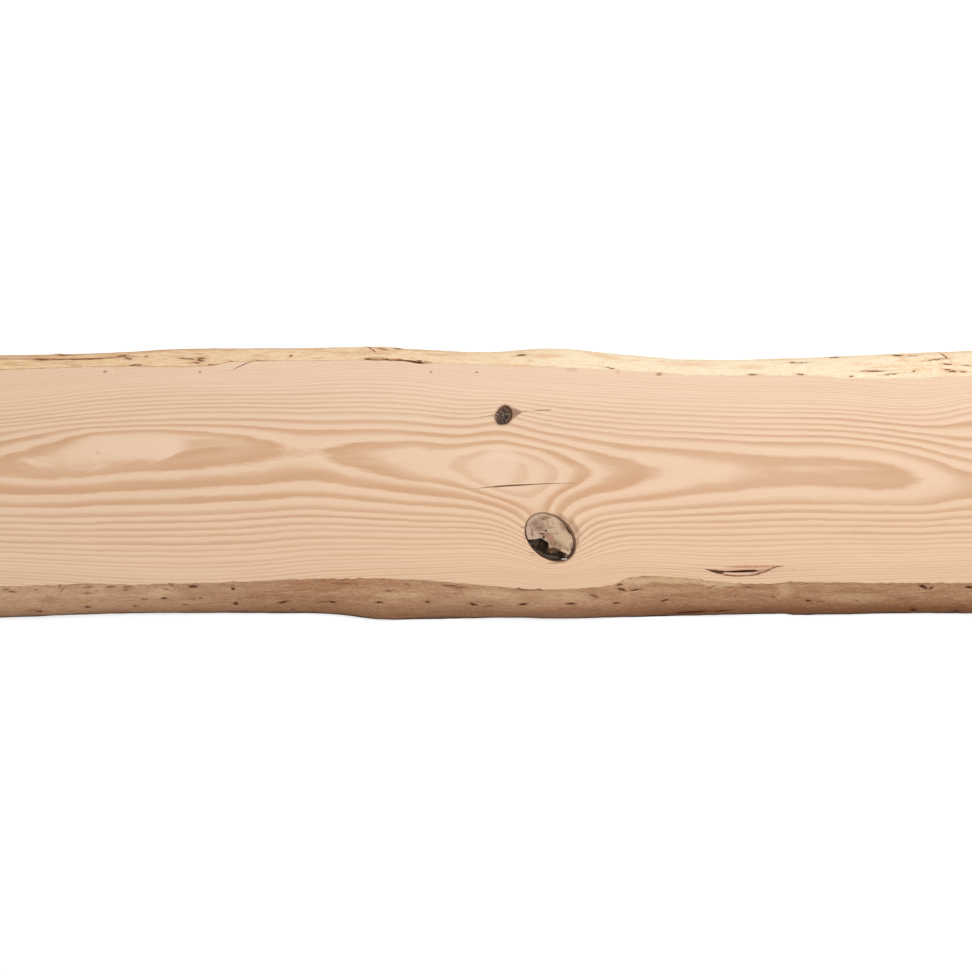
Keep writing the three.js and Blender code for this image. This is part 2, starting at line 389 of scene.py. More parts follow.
# Radius at which each ring ends, and the ring's number: ring 0 outlines the flame on the upper face.
RING_ENDS = [(50, -16), (94, -3), (95.3, -2), (97, -1), (MEAN_DEPTH, 0)]
for width in (2.5, 3, 3.1, 2.2, 2.4, 2.2, 2.9, 2.5, 2.2, 2.8, 1.7, 1.9, 1.5, 1.8):
    RING_ENDS.append((RING_ENDS[-1][0] + width, RING_ENDS[-1][1] + 1))
RING_ENDS.append((RING_ENDS[-1][0] + 17 * 1.6, 31))  # 17 more of 1.6 mm
# Swellings: height, X and Y, reach to the left, right, far and near side, how abrupt, and how leaning.
SWELLINGS = [
    (16, 64, -54, 34, 44, 27, 50, 1.6, -0.35),  # the big knot
    (3, 18, 66, 26, 26, 22, 16, 1.6, 0),  # the small knot
    (3.7, 18, 12, 44, 72, 60, 40, 2, 0),  # a buried branch inside the flame
    (18, 505, 85, 65, 50, 35, 34, 2, 0),  # a buried branch near the right end
    (2.7, -380, 52, 110, 110, 9, 16, 2, 0),  # fuller on the left flame's far side
]
BRANCH_TAPERS_BELOW = 32  # height from which a branch narrows evenly towards the pith


def along_log(step, values):
    """Turns a line of the log into [x, value] points."""
    return [(i * step - END, value) for i, value in enumerate(values)]


def knot_place(x, y, z, at_x, at_y, half_length, half_width, turn, pith_x):
    """How far a point lies from a branch's axis, 1 at its bark, and the two coordinates there."""
    below = (BRANCH_TAPERS_BELOW - z).math("MAXIMUM", 0.0)
    dx = x - at_x + below * ((at_x - pith_x) / MEAN_DEPTH)
    dy = y - at_y + below * ((at_y - MEAN_SIDE) / MEAN_DEPTH)
    size = 1 - below / MEAN_DEPTH
    cos, sin = math.cos(math.radians(turn)), math.sin(math.radians(turn))
    along = (dx * cos + dy * sin) / (size * half_length)
    across = (dy * cos - dx * sin) / (size * half_width)
    return (along * along + across * across) ** 0.5, along, across


def swelling(x, y, height, at_x, at_y, left, right, far, near, power, lean):
    """How far a branch bulged the rings out around it."""
    dx = x - at_x
    dy = y - at_y - dx * lean
    along = dx * (dx.fade(-16, 16) * (1 / right - 1 / left) + 1 / left)
    across = dy * (dy.fade(-16, 16) * (1 / far - 1 / near) + 1 / near)
    away = (along * along + across * across + 1e-6) ** (0.5 * power)
    return (away * -1).math("EXPONENT") * height


def rings(tree):
    """The number of the growth ring at each point, with fractions."""
    x, y, z, point = place(tree)
    side = y - x.graph(along_log(*PITH_SIDE))
    depth = z - TOP + x.graph(along_log(*PITH_DEPTH))
    oval = side.fade(-7, 7)
    squeeze = oval * x.graph(along_log(*FAR_OVAL)) + (1 - oval) * x.graph(along_log(*NEAR_OVAL))
    radius = ((side * squeeze) ** 2 + depth * depth) ** 0.5
    for bulge in SWELLINGS:
        radius = radius - swelling(x, y, *bulge)
    radius = radius + grain(point, (45, 9, 9), shift=3) * 0.22 + grain(point, (10, 2, 2), shift=8) * 0.11
    radius = radius + grain(point, (40, 1.2, 1.2), shift=17) * (side * side).fade(100, 1600) * 0.14
    radius = radius + grain(point, (24, 7, 7), shift=31) * 0.14
    return radius.graph(RING_ENDS)


ring_group = bpy.data.node_groups.new("growth rings", "ShaderNodeTree")
ring_group.interface.new_socket("Ring", in_out="OUTPUT", socket_type="NodeSocketFloat")
ring_output = ring_group.nodes.new("NodeGroupOutput")
feed(ring_group, rings(ring_group), ring_output.inputs["Ring"])

# %% [markdown]
# ## What the materials share
# Within a ring the wood is pale and soft at first and darkens slowly, then the next ring starts
# with a sharp edge. Cracks, specks and stains have their own places: each is a long narrow mark,
# or a thin seam that follows a line.

# %% Helpers for the materials
def new_material(thing, name):
    """Gives an object one more material, with an empty node tree."""
    material = bpy.data.materials.new(name)
    material.use_nodes = True
    material.node_tree.nodes.clear()
    thing.data.materials.append(material)
    return material.node_tree


def finish_material(shader):
    """Makes the shader the surface of its material."""
    feed(shader.tree, shader, shader.tree.nodes.new("ShaderNodeOutputMaterial").inputs["Surface"])


def finish_wood(colour, roughness, height, strength):
    """Wood whose colour and roughness flow in, with a fine relief whose height is in millimetres."""
    relief = node(colour.tree, "Bump", {"Strength": strength, "Distance": MM, "Height": height})
    values = {"Base Color": colour, "Roughness": roughness, "Normal": relief, "Specular IOR Level": 0.12}
    finish_material(node(colour.tree, "BsdfPrincipled", values))


def ring_number(tree):
    """The growth rings, for one material."""
    return node(tree, "Group", {}, "Ring", node_tree=ring_group)


# How dark the wood is from a ring's start to its end, in most years and where it darkened early.
DARKENING = [(0, 1), (0.09, 0.42), (0.18, 0.04), (0.5, 0.1), (0.62, 0.35), (0.73, 0.7), (0.9, 0.9), (1, 1)]
EARLY_DARKENING = [(0, 1), (0.09, 0.45), (0.18, 0.06), (0.34, 0.14), (0.45, 0.5), (0.6, 0.85), (1, 1)]
# How strongly the rings show, by their number.
RING_STRENGTH = [
    (-16, 0.7), (-3.5, 0.35), (-1, 0.5), (0, 1), (1.5, 1), (2.5, 0.8), (3.5, 0.95), (6, 0.7), (10, 0.5),
    (31, 0.4),
]


def late_wood(ring, near):
    """How dark the ring is at each point, from 0 to 1. On the near side the first year darkened early."""
    year = ring + 0.05
    fraction = year.math("FRACT")
    dark = fraction.graph(DARKENING, "AUTO_CLAMPED")
    early = fraction.graph(EARLY_DARKENING, "AUTO_CLAMPED")
    dark = dark + (early - dark) * year.fade(0, 0.02) * year.fade(1.02, 1) * near * 0.8
    strength = ring.graph(RING_STRENGTH, "AUTO_CLAMPED")
    season = node(ring.tree, "TexWhiteNoise", {"W": year.math("FLOOR")}, "Value", noise_dimensions="1D")
    return dark * strength * (1 + ring.fade(5, 8) * (season - 0.5) * 1.1)  # the outer years differ


def stirring(point):
    """A soft wavering of the wood's points, with which marks lose their smooth outlines."""
    return node(point.tree, "TexNoise", {"Vector": point, "Scale": 0.45, "Detail": 2}, "Color")


def mark_nodes():
    """The nodes that every mark shares: the squared distance to it, or to one before if that is nearer."""
    group = bpy.data.node_groups.new("one mark", "ShaderNodeTree")
    for name in ("Point", "Middle", "Along", "Across"):
        group.interface.new_socket(name, in_out="INPUT", socket_type="NodeSocketVector")
    group.interface.new_socket("Nearest", in_out="INPUT", socket_type="NodeSocketFloat")
    group.interface.new_socket("Nearest", in_out="OUTPUT", socket_type="NodeSocketFloat")
    inside, outside = group.nodes.new("NodeGroupInput"), group.nodes.new("NodeGroupOutput")
    point, middle, along, across, nearest = [Flow(group, socket) for socket in list(inside.outputs)[:5]]
    # A hair's pull from the mark before it makes Cycles work the marks out one by one.
    spot = vector("MULTIPLY_ADD", group, nearest, (1e-6, 1e-6, 1e-6), point)
    spot = vector("SUBTRACT", group, spot, middle)
    along, across = vector("DOT_PRODUCT", group, spot, along), vector("DOT_PRODUCT", group, spot, across)
    away = (along * along).math("MULTIPLY_ADD", 1.0, across * across)
    feed(group, nearest.math("MINIMUM", away), outside.inputs[0])
    return group


MARK = mark_nodes()
FAR_OFF = 100.0  # the square of a distance that no mark reaches


def marks(point, stir, places, ragged=0.5, part=None):
    """How far a point is from the nearest of some long narrow marks, where 1 is a mark's edge.

    Each mark is its X, Y, half length, half width and, where it is turned, its turn. Ragged is how
    far the stirring goes. Part is the stretch of the plank for which they are needed; the other marks
    are left out."""
    tree = point.tree
    stirred = vector("MULTIPLY_ADD", tree, stir, (ragged * 6, ragged * 2, 0), point)
    nearest = FAR_OFF
    for at_x, at_y, half_length, half_width, *turn in places:
        reach = 2.5 * half_length + 6
        if part and not part[0] - reach < at_x < part[1] + reach:
            continue
        angle = math.radians(turn[0] if turn else 0)
        cos, sin = math.cos(angle), math.sin(angle)
        values = {
            "Point": stirred, "Nearest": nearest, "Middle": (at_x + ragged * 3, at_y + ragged, 0),
            "Along": (cos / half_length, sin / half_length, 0),
            "Across": (-sin / half_width, cos / half_width, 0),
        }
        nearest = node(tree, "Group", values, node_tree=MARK)
    if nearest == FAR_OFF:  # none are needed here
        return node(tree, "Value", {}) + FAR_OFF ** 0.5
    return nearest ** 0.5


def seam(x, y, path, widths):
    """1 on a long thin line that follows [x, y] points, with its half width at some [x, width] points."""
    return ((y - x.graph(path)).math("ABSOLUTE") / x.graph(widths, "VECTOR")).fade(1.3, 0.5)


# %% [markdown]
# ## The planed faces
# Over the rings lie fine fibre streaks, the pale heart of the flames, a few spots and stains, a
# bark pocket, and two knots with a check between them.

# %% Planed softwood, from its heart to its edges
EARLY, LATE = paint(243, 210, 181), paint(218, 175, 140)
# Tints, as what they leave of a colour's red, green and blue.
EYE, HEART = (1.02, 1.02, 1.06, 1), (1, 0.98, 0.94, 1)
# The second pair is painted light and shade: paler towards the far side, warmer towards the near side.
PAINTED_SHADE_TINT, PAINTED_LIGHT_TINT = (0.95, 0.9, 0.83, 1), (1, 1.01, 1.02, 1)
EYES = [(14.5, 18.4, 19, 19.5)]  # pale wood in the middle of the heart
STREAKS = [(318, 14.6, 26, 2.6), (362, 15.2, 24, 1.8, -3), (236, 10, 26, 8), (-66, 27, 22, 7, -14)]
# In the left flame the dark wood starts along this line.
FLAME = [
    (-464, 21), (-448, 15), (-432, 10.5), (-416, 8.8), (-400, 10.2), (-384, 13.4), (-368, 17), (-352, 19),
    (-336, 19.4), (-320, 23.8), (-304, 31), (-288, 34.4), (-272, 36.4),
]
NEAR_UPPER_FACE = (20, 32)  # heights between which the marks of the upper face fade in


def left_flame(late, ring, x, y, upper):
    """The late wood with the left flame's dark side, and where the flame is pale."""
    above = y - x.graph(FLAME)
    dark = above.fade(2.5, -1) * 0.95 + above.fade(0, 3) * x.fade(-312, -290) * 0.6
    rim = ring + above.fade(4, 14) * 0.35  # the flame's dark rim is wider at its far side
    late = late + (dark - late) * rim.fade(-0.2, -0.5) * x.fade(-225, -250) * x.fade(-486, -460) * upper
    return late, above.fade(0, 3) * x.fade(-290, -320) * rim.fade(-0.2, -0.6) * x.fade(-470, -430) * upper


def planed_wood(part, x, y, z, point, stir):
    """The colour of the planed wood, with some painted light and shade, and how much of it is late wood."""
    upper = z.fade(*NEAR_UPPER_FACE)
    eye = marks(point, stir, EYES, 0.6, part).fade(1.15, 0.75)
    eye = (eye + marks(point, stir, STREAKS, 1, part).fade(1.7, 0.2) * (1 - eye) * 0.7) * upper
    ring = ring_number(point.tree)
    lines = grain(pair(x, ring * 5), (90, 1.2, 1), 2, 3)
    late = late_wood(ring, y.fade(32, 20)) * (1 + grain(point, (140, 14, 14), 2, 6) * 0.3)
    late = late * (1 - y.fade(40, 95) * 0.25) * (1 - eye * 0.7)
    late = late * (1 + x.fade(200, 420) * y.fade(30, 60) * 0.55)
    if part[1] < 0:
        late, eye = left_flame(late, ring, x, y, upper)
    outer = y.fade(-45, -75) * 0.1 + y.fade(60, 90) * x.fade(-50, 100) * 0.04
    wood = mix((late + lines * (outer + 0.09)).clamp(), EARLY, LATE)
    wood = tint(tint(wood, eye, EYE), ring.fade(2.6, -0.5) * late, HEART)
    # Painted light and shade: paler towards the far side and warmer towards the near side, more so to the
    # right.
    wood = tint(wood, (y * x.fade(-600, -50) * 0.01).fade(-1, 1, smooth=False), PAINTED_LIGHT_TINT, PAINTED_SHADE_TINT)
    streak = grain(point, (50, 0.8, 0.8), 3, 5) * 0.022 + grain(point, (4, 0.5, 0.5), 1, 19) * 0.04
    # Painted shade: darker along the near edge, and towards the right on the near half.
    streak = streak - y.fade(-65, -105) * 0.06 - x.fade(120, 480) * y.fade(70, 0) * 0.02
    return shade(wood, 1 + streak + grain(point, (220, 40, 40), 2, 9) * 0.02), late


DARK_SPLIT, RED_SPLIT = paint(96, 60, 44), paint(134, 82, 62)
FACE_SPOTS = [
    (-381, 111.5, 2, 1), (-286, 111, 1.6, 0.8), (-55, 111.5, 1.2, 0.9), (-9, 111, 1.4, 0.9),
    (32, -105, 2.4, 0.7), (53, -106, 3, 0.8, -6), (173, 108.6, 3, 1.1), (267, 108.3, 4.5, 0.9),
]
FACE_STAINS = [
    (86, 114, 6.5, 2.8), (132, 111, 2.2, 2.4), (-369, 115, 2, 1.5), (260, -88, 30, 4.4),
    (-388, 30.3, 2.6, 1.2), (-388, 30.3, 0.9, 2.6, 20),
]
# Seams, each as the [x, y] points that it follows and the [x, half width] points of its width.
POCKET = (
    [
        (218, -85.5), (226, -87.4), (234, -88.8), (242, -88.1), (250, -88), (258, -87.8), (266, -87.6),
        (274, -87.4),
    ],
    [
        (218, 0.05), (224, 1), (230, 2.1), (236, 1.9), (239, 0.7), (250, 0.6), (256, 1.3), (268, 1.4),
        (274, 0.05),
    ],
)
OVER_POCKET = (
    [(236, -83.6), (300, -83)],
    [(236, 0.02), (250, 1.2), (262, 1.5), (284, 1.3), (294, 0.6), (300, 0.1)],
)
UNDER_POCKET = (
    [
        (234, -90.7), (242, -92), (250, -92.6), (258, -92.5), (266, -91.8), (274, -89.9), (282, -86.9),
        (290, -83.7), (298, -83.2),
    ],
    [(232, 0.02), (235, 0.6), (240, 1), (262, 0.8), (272, 1.3), (284, 1.1), (293, 0.6), (299, 0.02)],
)
UNDER_POCKET_TWIG = ([(266, -88.8), (282, -85.4)], [(267, 0.1), (271, 0.6), (277, 0.5), (281, 0.1)])
# A painted highlight along the slit's near edge.
SLIT_HIGHLIGHT = ([(248, -89.8), (270, -89.9)], [(250, 0.1), (254, 0.6), (262, 0.5), (267, 0.1)])
CHECK = (
    [(-14, -5.75), (17, -2.75), (48, -1.4), (97, 0.2)],
    [(-14, 0.05), (6, 0.5), (11, 1), (34, 1), (46, 0.6), (97, 0.05)],
)


def spots_and_stains(wood, stir, point, part):
    """Reddish stains and small brown spots."""
    stain = marks(point, stir, FACE_STAINS, 0.4, part).fade(1.3, 0.5)
    wood = mix(stain * 0.35, wood, paint(205, 152, 124))
    return mix(marks(point, stir, FACE_SPOTS, 0.3, part).fade(1.6, 0.4) * 0.7, wood, paint(136, 94, 68))


def bark_pocket(wood, x, y, point):
    """The seams of bark that lie round the slit near the edge, and a painted highlight along its near edge.
    """
    over = seam(x, y, *OVER_POCKET)
    torn = grain(point, (3, 1, 1), 2, 41).fade(-0.7, 0.3)
    wood = mix(over * (0.35 + torn * 0.35), wood, paint(176, 118, 92))
    wood = mix(seam(x, y, *UNDER_POCKET) * (0.5 + torn * 0.5), wood, RED_SPLIT)
    wood = mix(seam(x, y, *UNDER_POCKET_TWIG) * 0.6, wood, RED_SPLIT)
    # Painted highlight along the slit's near edge.
    wood = mix(seam(x, y, *SLIT_HIGHLIGHT) * 0.5, wood, paint(214, 192, 178))
    crumbs = grain(point, (2.4, 1, 1), 2, 12).fade(-0.7, 0.4)
    return mix(seam(x, y, *POCKET), wood, mix(crumbs, paint(70, 44, 32), DARK_SPLIT))


def heart_check(wood, x, y):
    """The face is a little browner along the check, which is itself cut into the model. The brown is painted
    shade of the narrow crack.
    """
    check = seam(x, y, *CHECK)
    # Painted shade along the check.
    return mix(check * x.fade(60, 30) * 0.8 + check * 0.1, wood, paint(146, 102, 78))


# %% The two knots
KNOT_GREY, KNOT_TAN, BARK = paint(196, 166, 144), paint(214, 183, 150), paint(50, 30, 18)
SMALL_KNOT, SMALL_KNOT_LEANING = (18.2, 68.2, 8, 9.9, -12, 10), (17.2, 67.6, 7.6, 10, -30, 10)
TAILS = (
    [(-6, 66), (3, 67.5), (12, 68.6), (21, 69.3), (30, 70.4), (39, 71.6), (48, 72.6), (57, 73.1), (66, 73.2)],
    [
        (-7, 0.02), (-5, 0.4), (4, 0.6), (8, 1.8), (12, 3), (23, 7.4), (27, 6.2), (30, 4.6), (33.5, 1.8),
        (36, 0.5), (44, 0.05), (49, 0.3), (54, 0.6), (64, 0.6), (66, 0.02),
    ],
)
KNOT_BLACK = [
    (59.8, -47.5, 1.2, 1.2), (55.4, -50.4, 3.2, 0.9), (57.5, -54, 1.2, 1.8), (68.5, -65.4, 5, 1.1, -8),
    (82.8, -45.8, 5.5, 1.4, -56), (78, -71, 4.5, 1.6, -20), (86, -66.5, 2.2, 1.2, -50),
    (73, -67.4, 2, 1.4, 30), (83, -46.5, 7, 1.9, -58),
]
KNOT_BROWN = [
    (49, -40, 5, 3, 20), (53, -45.5, 4, 1.4, 10), (80.5, -44.5, 8, 2.6, -56), (46, -49, 1.2, 5, 10),
    (64, -44.5, 5, 0.7, 6), (56.5, -46.5, 2.6, 0.8, -20), (70, -50, 4, 0.6, 10), (87, -64, 4.5, 2.4, -50),
    (62, -40, 0.6, 4, 10), (80, -65, 5, 1.6, -30), (53, -43.5, 7, 5), (69, -61, 9, 4.6, -20),
    (60, -52, 5, 3, 10), (78, -43, 6, 3.4, -50), (58, -35, 6, 2.4, 10),
]
KNOT_HALO = [
    (88.5, -44, 10, 3.2, -62), (78, -34.5, 8, 1.6, -34), (37, -44.4, 2.4, 0.8), (45.5, -69.2, 3.6, 0.6, -6),
    (47, -72, 3, 0.5, -6), (92, -58, 6, 1.2, -86), (70, -79.5, 9, 1, 4), (39, -52, 1, 5),
]


def knot_spokes(along, across, away):
    """Short cracks that run out from the middle of a knot, 0 to 1."""
    spokes = pair(across.math("ARCTAN2", along) * 6, away * 3)
    return grain(spokes, (1, 1, 1), 2, 4).fade(0.1, 0.9)


def big_knot(wood, x, y, z, point, stir):
    """Its sound wood is grey on the left and tan with strong rings on the right."""
    upper = z.fade(*NEAR_UPPER_FACE)
    wood = mix(marks(point, stir, KNOT_HALO, 0.5).fade(1.6, 0.3) * 0.6 * upper, wood, paint(160, 118, 96))
    away, along, across = knot_place(x, y, z, *BIG_KNOT)
    tan = (along + across).fade(-0.5, 0.4)
    mottle = grain(point, (1.8, 1.8, 1.8), 3, 7, 0.65)
    ring = ((away * 12.5 + grain(point, (5, 5, 5), 2, 4) * 0.7).math("PINGPONG", 0.5) * 2) ** 1.5
    spoke = knot_spokes(along, across, away)
    own = mix(tan, KNOT_GREY, KNOT_TAN)
    own = shade(own, 1.06 - ring * (tan * 0.28 + 0.05) + mottle * (0.34 - tan * 0.08) - spoke * 0.25)
    brown = marks(point, stir, KNOT_BROWN, 0.6).fade(1.6, 0.3) * (0.65 + mottle).clamp() * upper
    own = mix(brown, own, paint(128, 92, 68))
    own = mix(grain(point, (1.3, 0.9, 1), 2, 71).fade(0.3, 0.8) * 0.5, own, paint(128, 94, 70))
    own = mix((away * 5.4).fade(1.3, 0.5) * 0.8, own, paint(172, 124, 104))
    own = mix(marks(point, stir, KNOT_BLACK, 0.5).fade(1.3, 0.5) * 0.9 * upper, own, BARK)
    thick = (along + across * 0.8).fade(-0.1, 0.8)  # the bark ring is thickest at the right
    own = mix(away.fade(0.87, 0.94) * thick, own, BARK)
    wood = mix(away.fade(1.09, 1.02) * thick * 0.75, wood, paint(112, 74, 54))
    return mix(away.fade(1.02, 0.98), wood, own)


def small_knot(wood, x, y, z, point):
    """It is dead and dark all through, with a brown rim, and bark runs out of it on both sides."""
    away, along, across = knot_place(x, y, z, *SMALL_KNOT)
    leaning = knot_place(x, y, z, *SMALL_KNOT_LEANING)[0]
    rugged = away.math("MINIMUM", leaning) + grain(point, (3, 3, 3), 2, 13) * 0.06
    tails = seam(x, y, *TAILS) * (0.45 + x.fade(10, 20) * 0.4) * z.fade(*NEAR_UPPER_FACE)
    wood = mix(tails, wood, paint(150, 112, 92))
    wood = mix(rugged.fade(1.3, 0.95) * 0.5, wood, paint(150, 106, 84))
    speck = grain(point, (2, 2.2, 2.2), 2, 2, 0.6)
    corner = (along * 0.6 + across).fade(-0.7, 0.5)
    own = mix(speck.fade(-0.5, 0.5), paint(50, 37, 29), paint(110, 92, 78))
    own = mix(speck.fade(0.2, 0.7) * (1 - corner * 0.75), own, paint(196, 168, 152))
    own = mix(rugged.fade(0.55, 0.8) * (corner + 0.3).clamp() * speck.fade(1, -0.2), own, paint(96, 60, 38))
    return mix(rugged.fade(1.04, 0.94), wood, own)


# %% The planed faces, one length at a time
PARTS = list(zip((-END, *SECTION_EDGES), (*SECTION_EDGES, END)))
CHECK_X, POCKET_X = 17, 250


def planed_softwood(part):
    """One part's planed wood. The knots go right through it, and the other marks lie on top."""
    x, y, z, point = place(new_material(plank, "planed softwood"))
    stir = stirring(point)
    plain, late = planed_wood(part, x, y, z, point, stir)
    wood = spots_and_stains(plain, stir, point, part)
    has_knots = part[0] < CHECK_X < part[1]
    if has_knots:
        wood = heart_check(wood, x, y)
    if part[0] < POCKET_X < part[1]:
        wood = bark_pocket(wood, x, y, point)
    wood = mix(z.fade(*NEAR_UPPER_FACE), plain, wood)
    if has_knots:
        wood = small_knot(big_knot(wood, x, y, z, point, stir), x, y, z, point)
    fuzz = grain(point, (30, 0.7, 0.7), 1, 5) * 0.015
    finish_wood(wood, 0.62 - late * 0.08, fuzz, 0.3)


# %% [markdown]
# ## The two wanes
# The near wane kept its inner bark film, so it is tan and brown. The far one was scraped down to
# pale sapwood, with orange streaks where resin ran. Spike marks, cracks and torn fibres have their
# own places, and everything between them is noise that is drawn out along the grain.

# %% The near wane
NEAR_SPIKES = [
    (-293, -103.4, 4.2, 1.2, 2), (-252.5, -121.2, 2.2, 1.5), (-204.5, -119.8, 4.6, 1, 9),
    (-154, -119.6, 2.8, 0.9), (-107.5, -119.9, 3.6, 1), (-59, -119.6, 2.8, 1.1, -6),
    (-12.5, -121.8, 4.4, 1, -14), (37, -121.6, 4.2, 1, 4), (85, -121, 4.6, 1, 2),
    (131.5, -120.4, 3.4, 0.8, 6), (180, -117.8, 3.4, 0.8, 16), (134, -101.2, 3.4, 1.1, 12),
    (136, -106.4, 4.2, 1.2, -18), (150, -107, 6, 0.7, 9), (324.5, -118.2, 2.6, 0.8),
    (438, -103.8, 4.8, 1.3, -22), (446, -104.6, 2.4, 0.8, 30), (484, -104, 4.2, 1),
    (433, -128.2, 4.4, 1.5, -4), (476, -129.4, 4, 0.9), (-402, -124.8, 2.8, 0.8), (-324, -115.8, 2.6, 0.8),
    (-451, -129.4, 3, 0.7), (-254, -105.6, 2, 1.6), (34, -105, 3, 0.7), (54, -106, 3.6, 0.8, -6),
    (207, -130.4, 17, 1.3, 3), (238, -129, 9, 0.8, 4),
]
NEAR_FLECKS = [
    (-481, -106.4, 3.2, 0.7, 4), (-475, -108.6, 4, 0.8, -4), (-451, -106.6, 2, 0.6), (-427, -104, 3, 0.5, 70),
    (-424, -106, 4, 0.5, 48), (-399, -104, 6, 0.5, 4), (-400, -110.4, 5, 0.5), (-376, -103.6, 4, 0.8, 4),
    (-358, -103.6, 4, 0.8, 10), (-361, -107, 2, 0.6), (-322, -100, 2.4, 0.6, 24),
    (-315, -101.6, 2.4, 0.7, -30), (-321, -106, 3, 0.6, -14), (-353.6, -123.8, 2.6, 0.6),
    (-343, -116.4, 3, 0.7), (-303.5, -122.4, 2.6, 0.6, -10), (-287, -115.6, 1.2, 0.9), (-293, -127.6, 3, 0.6),
    (-195, -127.4, 2.4, 0.7), (-163, -119.4, 7, 0.5, 2), (-79, -101, 2.6, 0.8), (-37, -102.4, 6, 0.8, -3),
    (-26, -104.6, 4, 0.8, 8), (43, -106.6, 8, 0.6, -2), (76, -104.6, 3, 0.5), (3, -123.6, 4, 0.7, 4),
    (108, -112.6, 4, 1.2, -20), (214, -100.8, 4, 0.7, -24), (228, -103, 6, 0.6, 20), (244, -103.4, 3, 0.8),
    (263, -104, 4.4, 0.7, 4), (288, -114.4, 2, 0.6), (336, -119, 4, 0.5, -2), (374, -118.4, 1.4, 0.8),
    (197, -96.5, 4, 0.6, 20), (181, -96, 6, 0.5, -14), (-140, -100.6, 9, 0.5), (-98, -108, 4, 0.6),
]
NEAR_RED = [
    (-455, -129, 12, 2.4), (-440, -118, 10, 3.4), (-380, -130, 18, 2, 2), (-358, -105, 6, 2),
    (-235, -128, 16, 2.4, 2), (-157, -114, 8, 2.6), (-83, -132.4, 16, 1.6), (-48, -130.4, 8, 1.6),
    (-9, -128.6, 12, 2, -3), (-30, -104, 10, 2.6), (-27, -110.6, 8, 2), (84, -127.6, 40, 4.4, 3),
    (111, -114.4, 5, 2.4), (222, -130, 32, 3.4, 3), (325, -128.4, 9, 1.8), (478, -125, 12, 6.4),
    (190, -112, 30, 2.2, 3), (262, -114, 22, 2.6, -3), (-210, -113, 26, 3, 2), (380, -109, 40, 2),
]
NEAR_PALE = [
    (-388, -108, 8, 6), (9, -111.5, 30, 7, -6), (76, -113.6, 26, 6), (147, -100.6, 18, 3, 4),
    (229, -102.4, 15, 2.6, -10), (300, -108, 8, 7), (-327, -110, 14, 6, 10), (-88, -112, 30, 4),
    (370, -116, 30, 5), (150, -108.6, 10, 0.9, 8),
]
NEAR_TORN = [
    (150, -97.5, 20, 3.4, 2), (186, -96.5, 24, 4, -2), (218, -98.5, 20, 3.4, -6), (242, -101, 12, 2.2, -4),
]
# How reddish the film is along the plank.
RUDDY = [
    (-500, 0.12), (-350, 0.25), (-200, 0.75), (-50, 0.6), (100, 0.5), (250, 0.8), (400, 0.75), (500, 0.65),
]
FOOT = (0.57, 0.44, 0.33, 1)  # a tint for under the log's curve, where light is weak and the film is brown


def film_with_foot_shade(part, x, z, point, stir):
    """The film's colour, with painted shade that makes it darker and browner towards the floor."""
    ruddy = x.graph(RUDDY)
    patch = grain(point, (46, 7, 8), 3, 6)
    tone = mix((ruddy + patch * 0.5).clamp(), paint(218, 175, 139), paint(182, 131, 95))
    tone = mix(marks(point, stir, NEAR_RED, 1.6, part).fade(1.5, 0.3) * 0.5, tone, paint(174, 118, 84))
    tone = mix(marks(point, stir, NEAR_PALE, 1.6, part).fade(1.5, 0.2) * 0.5, tone, paint(236, 198, 156))
    tone = mix(grain(point, (16, 1.1, 1.4), 3, 21).fade(0, 0.9) * 0.65, tone, paint(158, 106, 76))
    tone = mix(grain(point, (16, 1.1, 1.4), 3, 33).fade(0.1, 0.9) * 0.6, tone, paint(240, 206, 168))
    height = z + patch * 3
    # Painted shade, with some of the film's brown: darker and browner towards the floor under the log's
    # curve, and a dark line at the foot.
    tone = mix(height.fade(25, 6) * 0.46, tone, paint(142, 98, 66))
    shadow = height.fade(32, 8) * (x.fade(-250, 450, smooth=False) * 0.85 + 0.25)
    tone = tint(tone, shadow, FOOT)
    tone = mix(height.fade(9, 1) * 0.75, tone, paint(72, 45, 28))
    return mix(z.fade(4.5, 1.5) * 0.85, tone, paint(48, 28, 16))


def near_wane(part):
    """The film with its grain, flecks and spike marks, and a worn rim at the upper face."""
    x, y, z, point = place(new_material(plank, "near wane"))
    stir = stirring(point)
    tone = film_with_foot_shade(part, x, z, point, stir)
    fibre = grain(point, (6, 0.7, 0.9), 3, 1, 0.6)
    speck = grain(point, (3.4, 1.3, 1.7), 3, 44, 0.7)
    tone = mix(speck.fade(0.1, 0.8) * 0.6, tone, paint(112, 68, 40))
    tone = mix(speck.fade(-0.1, -0.8) * z.fade(2, 22) * 0.55, tone, paint(230, 188, 140))
    tone = shade(tone, 1 + fibre * 0.22 + grain(point, (1.8, 0.9, 1), 2, 8) * 0.14)
    fleck, spike = marks(point, stir, NEAR_FLECKS, 1, part), marks(point, stir, NEAR_SPIKES, 0.9, part)
    strand = grain(point, (6, 0.6, 0.8), 2, 51).fade(-0.6, 0.3)
    tone = mix(fleck.fade(1.9, 0.5) * (0.3 + strand * 0.55), tone, paint(110, 60, 32))
    tone = mix(spike.fade(2.2, 0.8) * (0.2 + strand * 0.4), tone, paint(124, 70, 40))
    tone = mix(spike.fade(1.1, 0.7) * (0.6 + strand * 0.4), tone, paint(66, 28, 10))
    torn = marks(point, stir, NEAR_TORN, 0.9, part).fade(1.4, 0.6)
    tone = mix(torn * (0.3 + strand * 0.6), tone, paint(232, 194, 150))
    rim = z.fade(36, 39.6) * grain(point, (7, 1.4, 1.8), 3, 61)
    tone = mix(rim.fade(0.1, 0.7) * 0.6, tone, paint(128, 86, 58))
    tone = mix(rim.fade(-0.1, -0.6) * 0.6, tone, paint(228, 190, 148))
    finish_wood(tone, 0.75 + fibre * 0.04, fibre * 0.3, 0.6)


